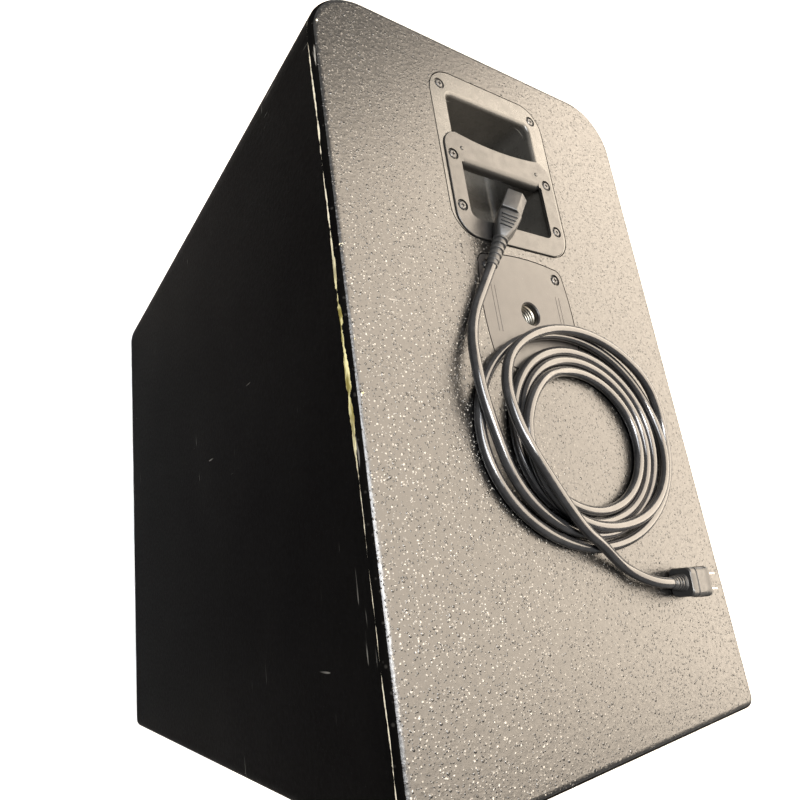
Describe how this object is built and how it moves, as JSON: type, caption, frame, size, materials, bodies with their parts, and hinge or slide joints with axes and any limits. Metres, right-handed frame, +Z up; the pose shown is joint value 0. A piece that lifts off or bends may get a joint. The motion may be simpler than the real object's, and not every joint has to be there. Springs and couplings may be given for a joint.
{
  "type": "powered bass cabinet",
  "caption": "Round-fronted box loudspeaker for stages, with a recessed top handle, a threaded pole socket, a steel grille and its mains lead coiled on top.",
  "frame": {"origin": "on the floor, below the middle of the box", "axes": "+Z up; the grille faces -Y and the amplifier panel faces +Y; +X is to the right seen from the front"},
  "size_m": [0.384, 0.645, 0.7326],
  "materials": {
    "textured_black_paint": "black textured paint on birch plywood",
    "bare_ply": "unpainted birch plywood",
    "moulded_plastic": "satin black moulded plastic",
    "plate_plastic": "smooth satin plastic",
    "black_screw": "black oxide steel",
    "zinc_steel": "zinc-plated steel",
    "grille_steel": "black powder-coated steel",
    "foam": "open-cell black foam",
    "wool": "white polyester wadding",
    "basket_metal": "black pressed steel",
    "ferrite": "sintered ferrite",
    "paper_cone": "coated paper pulp",
    "spider_cloth": "resin-treated cloth",
    "copper_coil": "enamelled copper on a former",
    "rubber": "black rubber",
    "panel_metal": "black powder-coated aluminium",
    "heat_sink_metal": "extruded aluminium",
    "circuit_board": "glass-epoxy board",
    "transformer_wrap": "wound copper under tape",
    "capacitor_can": "sleeved aluminium cans",
    "light_lens": "green light lens",
    "cord_jacket": "semi-gloss black PVC",
    "plug_metal": "nickel-plated brass"
  },
  "bodies": {
    "cabinet": {"top_panel": "textured_black_paint", "bottom_panel": "textured_black_paint", "left_side_panel": "textured_black_paint", "right_side_panel": "textured_black_paint", "left_corner_post": "textured_black_paint", "right_corner_post": "textured_black_paint", "rear_panel": "textured_black_paint", "front_baffle": "textured_black_paint", "shelf_brace": "bare_ply", "damping_wool": "wool", "rubber_feet": "rubber", "handle_cup": "moulded_plastic", "handle_bar_frame": "moulded_plastic", "handle_screws": "black_screw", "pole_plate": "plate_plastic", "pole_insert": "zinc_steel", "pole_plate_screws": "black_screw", "front_grille": "grille_steel", "grille_foam": "foam", "grille_standoffs": "moulded_plastic", "grille_screws": "black_screw", "woofer_basket": "basket_metal", "woofer_top_plate": "zinc_steel", "woofer_magnet": "ferrite", "woofer_yoke": "zinc_steel", "woofer_screws": "black_screw", "port_tubes": "moulded_plastic", "amp_tray": "panel_metal", "amp_panel": "panel_metal", "heat_sink": "heat_sink_metal", "amp_board": "circuit_board", "mains_transformer": "transformer_wrap", "filter_capacitors": "capacitor_can", "mains_inlet": "moulded_plastic", "power_switch_frame": "moulded_plastic", "input_socket_1": "moulded_plastic", "input_socket_2": "moulded_plastic", "output_sockets": "moulded_plastic", "status_lights": "light_lens", "amp_panel_screws": "black_screw", "c13_connector": "cord_jacket", "c13_strain_relief": "cord_jacket", "cord_lead": "cord_jacket", "cord_coil": "cord_jacket", "cord_tail": "cord_jacket", "mains_plug": "cord_jacket", "plug_blades": "plug_metal"},
    "cone_assembly": {"woofer_cone": "paper_cone", "woofer_dust_cap": "paper_cone", "voice_coil": "copper_coil", "woofer_surround": "rubber", "woofer_spider": "spider_cloth"},
    "power_rocker": {"power_rocker": "moulded_plastic"},
    "level_knob_1": {"level_knob_1": "moulded_plastic"},
    "level_knob_2": {"level_knob_2": "moulded_plastic"},
    "mode_button_1": {"mode_button_1": "moulded_plastic"},
    "mode_button_2": {"mode_button_2": "moulded_plastic"},
    "latch_tab_1": {"latch_tab_1": "zinc_steel"},
    "latch_tab_2": {"latch_tab_2": "zinc_steel"}
  },
  "joints": [
    {"name": "woofer_travel", "type": "slide", "parent": "cabinet", "child": "cone_assembly", "axis": [0, 1, 0], "range_m": [-0.008, 0.008], "stiffness_N_per_m": 4000},
    {"name": "power_rocker_tilt", "type": "hinge", "parent": "cabinet", "child": "power_rocker", "pos_m": [-0.112, 0.297, 0.398], "axis": [-1, 0, 0], "range_deg": [0, 18]},
    {"name": "level_knob_1_turn", "type": "hinge", "parent": "cabinet", "child": "level_knob_1", "pos_m": [-0.01, 0.299, 0.498], "axis": [0, 1, 0], "range_deg": [-140, 140]},
    {"name": "level_knob_2_turn", "type": "hinge", "parent": "cabinet", "child": "level_knob_2", "pos_m": [-0.058, 0.299, 0.498], "axis": [0, 1, 0], "range_deg": [-140, 140]},
    {"name": "mode_button_1_press", "type": "slide", "parent": "cabinet", "child": "mode_button_1", "axis": [0, -1, 0], "range_m": [0, 0.0015], "stiffness_N_per_m": 300},
    {"name": "mode_button_2_press", "type": "slide", "parent": "cabinet", "child": "mode_button_2", "axis": [0, -1, 0], "range_m": [0, 0.0015], "stiffness_N_per_m": 300},
    {"name": "latch_tab_1_press", "type": "slide", "parent": "cabinet", "child": "latch_tab_1", "axis": [0, -1, 0], "range_m": [0, 0.002], "stiffness_N_per_m": 400},
    {"name": "latch_tab_2_press", "type": "slide", "parent": "cabinet", "child": "latch_tab_2", "axis": [0, -1, 0], "range_m": [0, 0.002], "stiffness_N_per_m": 400}
  ]
}
